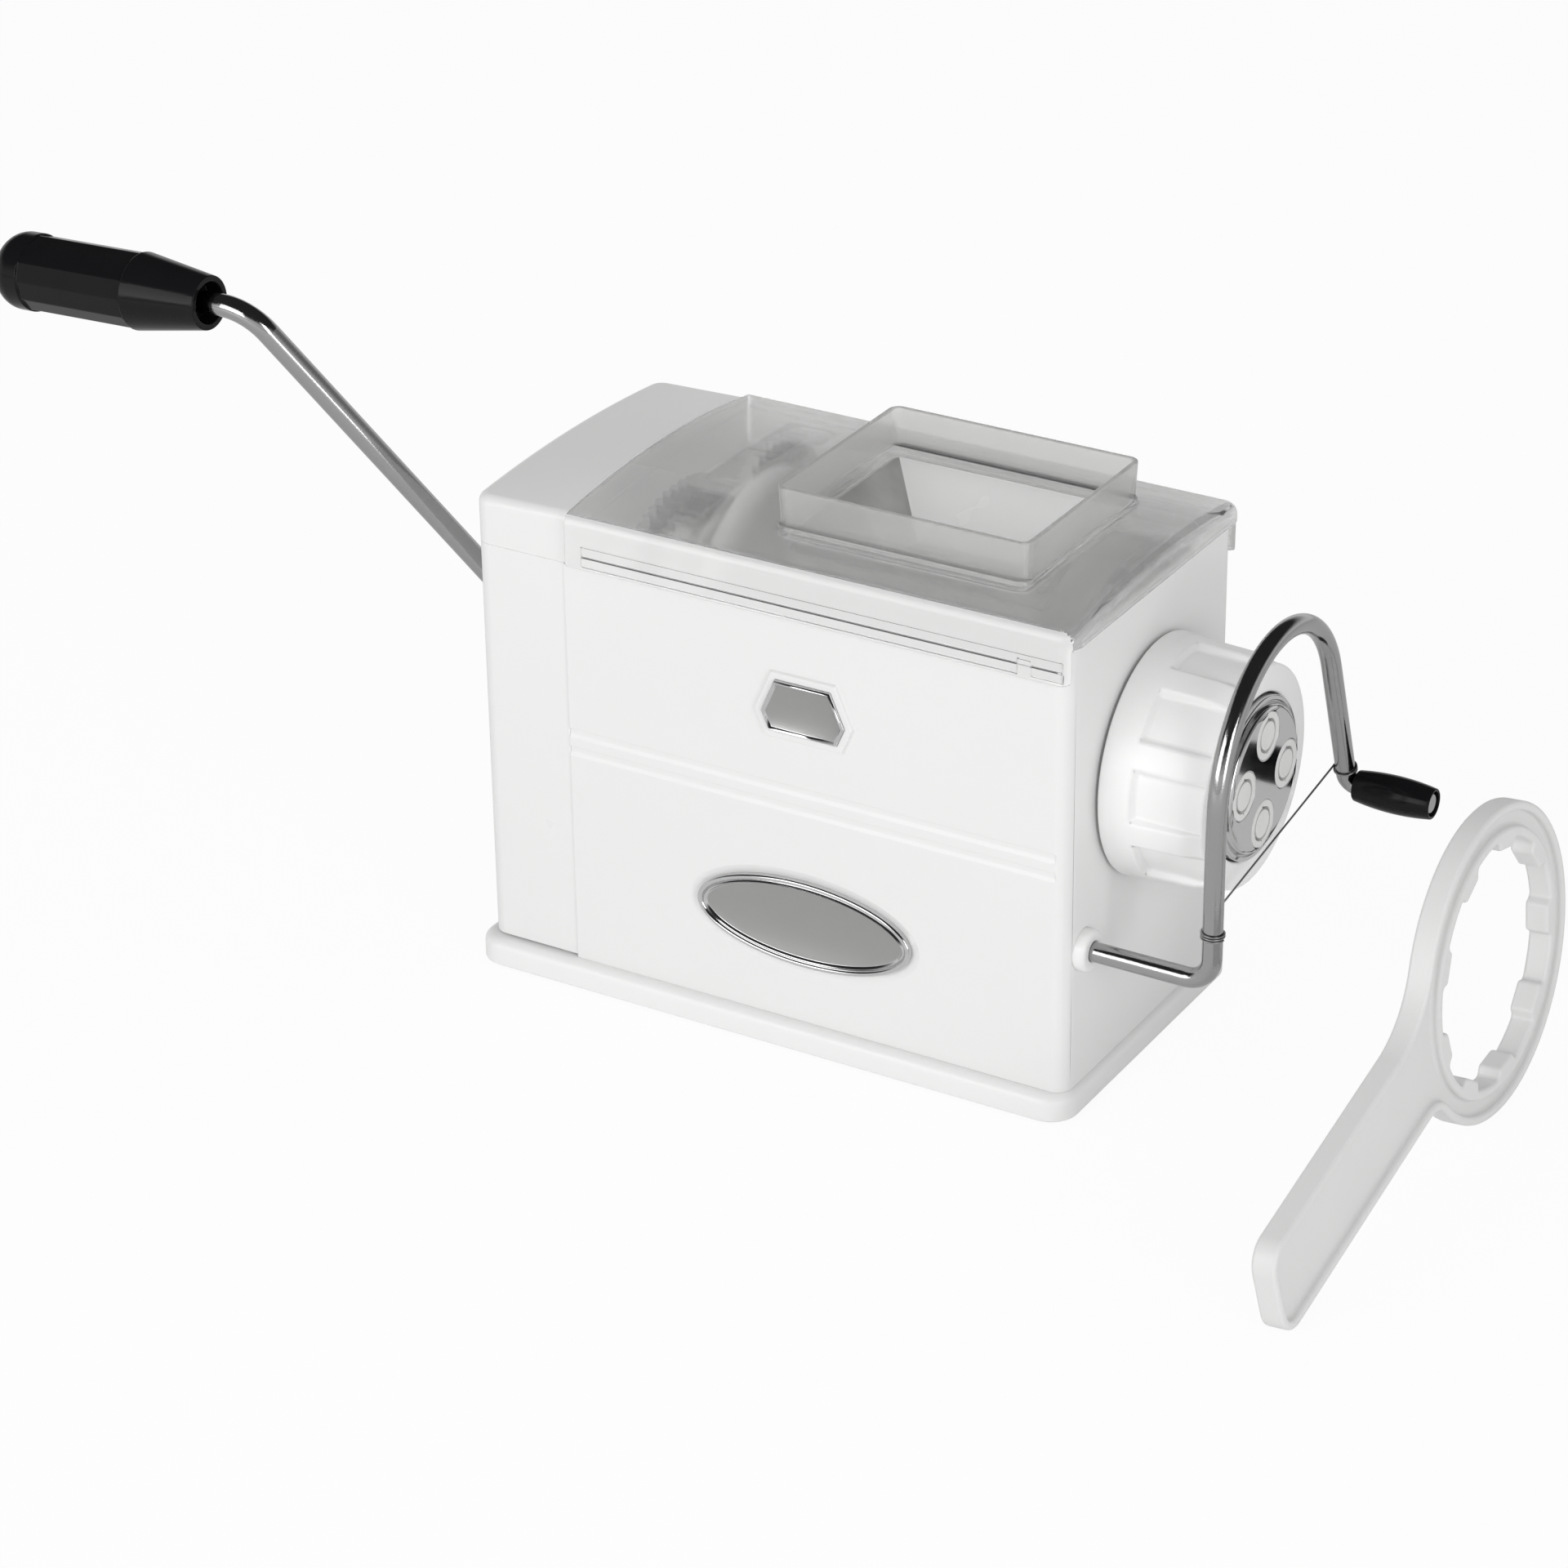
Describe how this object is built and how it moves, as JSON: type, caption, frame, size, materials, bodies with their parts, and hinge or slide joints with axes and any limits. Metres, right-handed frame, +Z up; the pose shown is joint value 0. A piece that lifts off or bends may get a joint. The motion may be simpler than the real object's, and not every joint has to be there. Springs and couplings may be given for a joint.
{
  "type": "pasta machine",
  "caption": "Hand-cranked extruding pasta machine with clear hopper lid, screw barrel, stepped die, ring nut, swinging wire cutter and a loose ring spanner.",
  "frame": {"origin": "under the middle rubber foot, on the surface that the feet stand on", "axes": "+X along the machine to the die end, +Y to the back, +Z up; the crank is at -X"},
  "size_m": [0.548, 0.2176, 0.2343],
  "materials": {
    "white_casing": "smooth",
    "white_base": "smooth",
    "clear_lid": "clear",
    "inner_white": "smooth",
    "white_nut": "smooth",
    "gear_grey": "satin",
    "auger_white": "satin",
    "steel": "turned",
    "chrome": "polished",
    "insert_white": "satin",
    "black_grip": "polished",
    "spanner_white": "smooth",
    "rubber": "matt"
  },
  "bodies": {
    "machine": {"base_tray": "white_base", "rubber_feet": "rubber", "base_screws": "steel", "housing": "white_casing", "oval_plate": "chrome", "front_badge": "chrome", "gear_cover": "white_casing", "top_cap": "white_casing", "feed_chamber": "inner_white", "barrel": "inner_white", "crank_bush": "gear_grey", "pivot_boss": "white_casing"},
    "drive": {"auger": "auger_white", "drive_shaft": "steel", "auger_gear": "gear_grey", "crank_arm": "chrome"},
    "grip": {"crank_grip": "black_grip"},
    "front_feed": {"front_roller": "auger_white", "front_roller_shaft": "steel", "front_drive_gear": "gear_grey", "front_timing_gear": "gear_grey"},
    "back_feed": {"back_roller": "auger_white", "back_roller_shaft": "steel", "back_timing_gear": "gear_grey"},
    "die_plate": {"die": "chrome", "die_inserts": "insert_white"},
    "nut": {"ring_nut": "white_nut"},
    "cutter": {"cutter_frame": "chrome", "cutter_wire": "steel", "cutter_rivet": "chrome"},
    "knob": {"cutter_knob": "black_grip"},
    "cover": {"lid": "clear_lid"},
    "wrench": {"spanner": "spanner_white"}
  },
  "joints": [
    {"name": "crank_turn", "type": "hinge", "parent": "machine", "child": "drive", "pos_m": [0, 0, 0.1115], "axis": [1, 0, 0], "continuous": true},
    {"name": "front_roller_turn", "type": "hinge", "parent": "machine", "child": "front_feed", "pos_m": [0, -0.02475, 0.15087], "axis": [1, 0, 0], "continuous": true},
    {"name": "back_roller_turn", "type": "hinge", "parent": "machine", "child": "back_feed", "pos_m": [0, 0.02475, 0.15087], "axis": [1, 0, 0], "continuous": true},
    {"name": "grip_spin", "type": "hinge", "parent": "drive", "child": "grip", "pos_m": [-0.2089, -0.05194, 0.22288], "axis": [-0.9984, 0.0236, -0.0506], "continuous": true},
    {"name": "die_slide", "type": "slide", "parent": "machine", "child": "die_plate", "axis": [1, 0, 0], "range_m": [0, 0.0004]},
    {"name": "nut_turn", "type": "hinge", "parent": "die_plate", "child": "nut", "pos_m": [0, 0, 0.1115], "axis": [1, 0, 0], "range_deg": [0, 40]},
    {"name": "cutter_swing", "type": "hinge", "parent": "machine", "child": "cutter", "pos_m": [0, -0.0468, 0.0601], "axis": [1, 0, 0], "range_deg": [-40, 70]},
    {"name": "knob_spin", "type": "hinge", "parent": "cutter", "child": "knob", "pos_m": [0, 0.05479, 0.087], "axis": [1, 0, 0], "continuous": true},
    {"name": "lid_lift", "type": "slide", "parent": "machine", "child": "cover", "axis": [0, 0, 1], "range_m": [0, 0.06]},
    {"name": "spanner_lift", "type": "slide", "parent": "machine", "child": "wrench", "axis": [0, 0, 1], "range_m": [0, 0.15]}
  ],
  "couplings": [
    {"joint": "front_roller_turn", "follows": "crank_turn", "ratio": -0.87879},
    {"joint": "back_roller_turn", "follows": "crank_turn", "ratio": 0.87879},
    {"joint": "die_slide", "follows": "nut_turn", "m_per_rad": 0.00047746}
  ]
}
